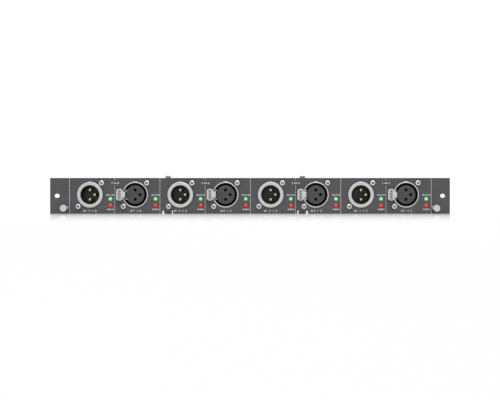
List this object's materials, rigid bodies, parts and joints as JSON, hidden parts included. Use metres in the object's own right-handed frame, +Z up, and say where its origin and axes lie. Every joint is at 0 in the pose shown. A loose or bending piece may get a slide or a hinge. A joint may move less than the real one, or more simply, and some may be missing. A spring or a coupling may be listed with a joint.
{
  "type": "microphone preamp rack module",
  "caption": "Plug-in card for a microphone preamp rack: a long low front panel with round three-pin input and output ports, lamps and corner fasteners, and a framed circuit board behind.",
  "frame": {"origin": "on the surface the card stands on, under the middle of its length and depth", "axes": "+X to the right along the front panel, +Y from the front panel into the rack, +Z up"},
  "size_m": [0.3374, 0.18, 0.032],
  "materials": {
    "dark_paint": "satin",
    "zinc_plate": "satin",
    "nickel": "satin",
    "screw_steel": "satin",
    "black_plastic": "matte",
    "grey_plastic": "matte",
    "circuit_board": "satin",
    "connector_grey": "matte",
    "lamp_housing": "matte",
    "green_lens": "gloss",
    "red_lens": "gloss",
    "contact_gold": "polished",
    "legend_ink": "matte",
    "component_metal": "satin"
  },
  "bodies": {
    "card": {"front_panel": "dark_paint", "top_rail": "zinc_plate", "side_rail_left": "zinc_plate", "side_rail_right": "zinc_plate", "rear_plate": "zinc_plate", "main_board": "circuit_board", "rear_connector": "connector_grey", "processor": "black_plastic", "transformer_78": "black_plastic", "transformer_56": "black_plastic", "transformer_34": "black_plastic", "transformer_12": "black_plastic", "output_shell_78": "nickel", "output_insert_78": "black_plastic", "output_screw_upper_78": "screw_steel", "output_screw_lower_78": "screw_steel", "output_lamps_78": "lamp_housing", "input_shell_78": "nickel", "input_insert_78": "grey_plastic", "input_screw_upper_78": "screw_steel", "input_screw_lower_78": "screw_steel", "input_lamps_78": "lamp_housing", "output_shell_56": "nickel", "output_insert_56": "black_plastic", "output_screw_upper_56": "screw_steel", "output_screw_lower_56": "screw_steel", "output_lamps_56": "lamp_housing", "input_shell_56": "nickel", "input_insert_56": "grey_plastic", "input_screw_upper_56": "screw_steel", "input_screw_lower_56": "screw_steel", "input_lamps_56": "lamp_housing", "output_shell_34": "nickel", "output_insert_34": "black_plastic", "output_screw_upper_34": "screw_steel", "output_screw_lower_34": "screw_steel", "output_lamps_34": "lamp_housing", "input_shell_34": "nickel", "input_insert_34": "grey_plastic", "input_screw_upper_34": "screw_steel", "input_screw_lower_34": "screw_steel", "input_lamps_34": "lamp_housing", "output_shell_12": "nickel", "output_insert_12": "black_plastic", "output_screw_upper_12": "screw_steel", "output_screw_lower_12": "screw_steel", "output_lamps_12": "lamp_housing", "input_shell_12": "nickel", "input_insert_12": "grey_plastic", "input_screw_upper_12": "screw_steel", "input_screw_lower_12": "screw_steel", "input_lamps_12": "lamp_housing"},
    "fastener_left": {"knob_left": "nickel", "pawl_left": "zinc_plate"},
    "fastener_right": {"knob_right": "nickel", "pawl_right": "zinc_plate"},
    "latch_78": {"input_latch_78": "nickel"},
    "latch_56": {"input_latch_56": "nickel"},
    "latch_34": {"input_latch_34": "nickel"},
    "latch_12": {"input_latch_12": "nickel"}
  },
  "joints": [
    {"name": "fastener_left_turn", "type": "hinge", "parent": "card", "child": "fastener_left", "pos_m": [-0.1571, -0.086, 0.00454], "axis": [0, -1, 0], "range_deg": [0, 90]},
    {"name": "fastener_right_turn", "type": "hinge", "parent": "card", "child": "fastener_right", "pos_m": [0.1571, -0.086, 0.00454], "axis": [0, 1, 0], "range_deg": [0, 90]},
    {"name": "latch_78_press", "type": "hinge", "parent": "card", "child": "latch_78", "pos_m": [-0.1085, -0.0806, 0.01593], "axis": [0, 0, -1], "range_deg": [0, 8], "stiffness_Nm_per_rad": 0.1},
    {"name": "latch_56_press", "type": "hinge", "parent": "card", "child": "latch_56", "pos_m": [-0.0323, -0.0806, 0.01593], "axis": [0, 0, -1], "range_deg": [0, 8], "stiffness_Nm_per_rad": 0.1},
    {"name": "latch_34_press", "type": "hinge", "parent": "card", "child": "latch_34", "pos_m": [0.0439, -0.0806, 0.01593], "axis": [0, 0, -1], "range_deg": [0, 8], "stiffness_Nm_per_rad": 0.1},
    {"name": "latch_12_press", "type": "hinge", "parent": "card", "child": "latch_12", "pos_m": [0.1201, -0.0806, 0.01593], "axis": [0, 0, -1], "range_deg": [0, 8], "stiffness_Nm_per_rad": 0.1}
  ]
}
